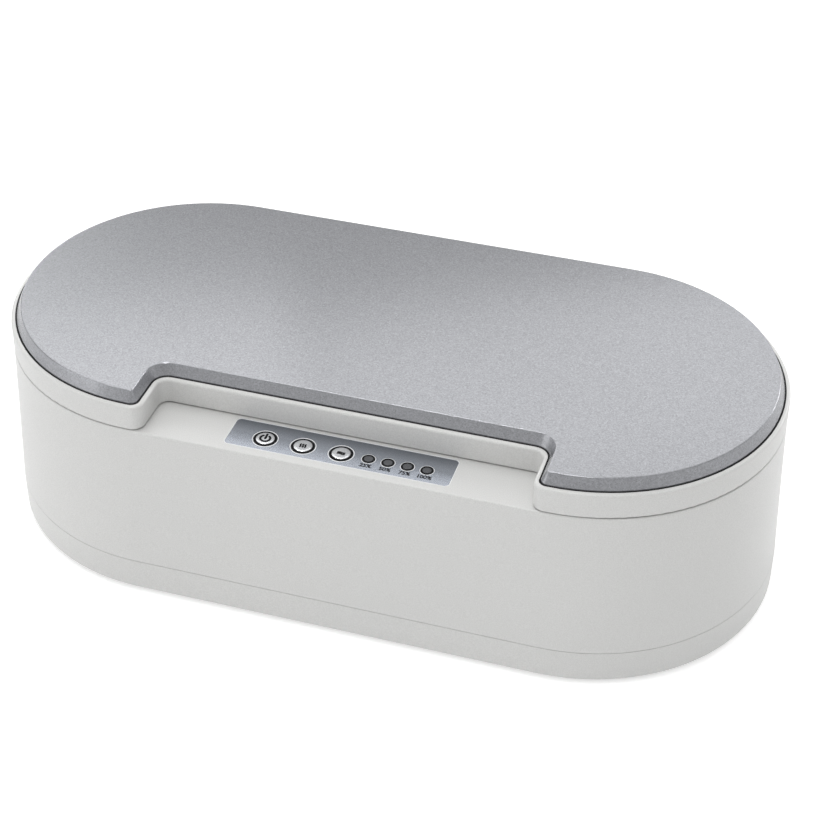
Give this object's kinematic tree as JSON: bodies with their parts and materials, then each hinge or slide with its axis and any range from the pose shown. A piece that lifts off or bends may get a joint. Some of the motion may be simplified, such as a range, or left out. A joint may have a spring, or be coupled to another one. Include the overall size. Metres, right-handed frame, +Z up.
{
  "type": "phone sanitizer box",
  "caption": "Rounded tabletop box with a hinged lid that disinfects a phone with ultraviolet lamps, worked by keys on a front shelf.",
  "frame": {"origin": "centre of the footprint, on the surface that the feet stand on", "axes": "+Z up, +X along the length, the control shelf faces -Y and the hinge is at +Y"},
  "size_m": [0.234, 0.114, 0.0695],
  "materials": {
    "white_plastic": "fine satin moulding",
    "cover_plastic": "fine matte paint",
    "panel_film": "printed satin film",
    "key_plastic": "satin with a black ring",
    "plunger_plastic": "moulded",
    "smoked_window": "smoked gloss",
    "mirror_lining": "vacuum metallised",
    "grille_plastic": "moulded",
    "felt": "pressed felt",
    "heater_ceramic": "unglazed",
    "quartz": "clear",
    "lamp_ceramic": "plain",
    "lamp_board": "white solder mask",
    "circuit_board": "solder mask",
    "chip_plastic": "moulded epoxy",
    "capacitor_can": "drawn can",
    "inlet_steel": "nickel plated",
    "ribbon_film": "laminated film",
    "screw_steel": "zinc plated",
    "pin_steel": "ground",
    "magnet_plate": "nickel plated",
    "foot_rubber": "moulded",
    "seal_rubber": "soft foam"
  },
  "bodies": {
    "base": {"body_shell": "white_plastic", "base_cover": "white_plastic", "rubber_feet": "foot_rubber", "base_screws": "screw_steel", "chamber_liner": "mirror_lining", "aroma_grille": "grille_plastic", "aroma_pad": "felt", "aroma_heater": "heater_ceramic", "lower_lenses": "quartz", "lower_uv_lamps": "lamp_ceramic", "lower_lamp_board": "lamp_board", "main_board": "circuit_board", "main_board_chips": "chip_plastic", "main_board_capacitors": "capacitor_can", "main_board_coils": "chip_plastic", "buzzer": "chip_plastic", "power_inlet": "inlet_steel", "control_board": "circuit_board", "tact_switches": "chip_plastic", "indicator_lamps": "lamp_ceramic", "light_guides": "smoked_window", "panel_overlay": "panel_film", "ribbon_connectors": "plunger_plastic", "control_ribbon": "ribbon_film", "board_screws": "screw_steel", "catch_discs": "screw_steel", "lid_sensor": "chip_plastic", "hinge_pins": "pin_steel"},
    "lid": {"lid_frame": "white_plastic", "lid_cover": "cover_plastic", "lid_inner_panel": "mirror_lining", "light_seal": "seal_rubber", "lid_lenses": "quartz", "lid_uv_lamps": "lamp_ceramic", "lid_lamp_board": "lamp_board", "lid_screws": "screw_steel", "lid_board_screws": "screw_steel", "lid_magnets": "magnet_plate", "lid_bumpers": "foot_rubber"},
    "power_key": {"power_key": "key_plastic", "power_switch_plunger": "plunger_plastic"},
    "disinfect_key": {"disinfect_key": "key_plastic", "disinfect_switch_plunger": "plunger_plastic"},
    "aroma_key": {"aroma_key": "key_plastic", "aroma_switch_plunger": "plunger_plastic"}
  },
  "joints": [
    {"name": "lid_hinge", "type": "hinge", "parent": "base", "child": "lid", "pos_m": [0, 0.052, 0.0613], "axis": [-1, 0, 0], "range_deg": [0, 100]},
    {"name": "power_key_press", "type": "slide", "parent": "base", "child": "power_key", "axis": [0, 0, -1], "range_m": [0, 0.0004], "stiffness_N_per_m": 300, "springref_m": -0.001},
    {"name": "disinfect_key_press", "type": "slide", "parent": "base", "child": "disinfect_key", "axis": [0, 0, -1], "range_m": [0, 0.0004], "stiffness_N_per_m": 300, "springref_m": -0.001},
    {"name": "aroma_key_press", "type": "slide", "parent": "base", "child": "aroma_key", "axis": [0, 0, -1], "range_m": [0, 0.0004], "stiffness_N_per_m": 300, "springref_m": -0.001}
  ]
}
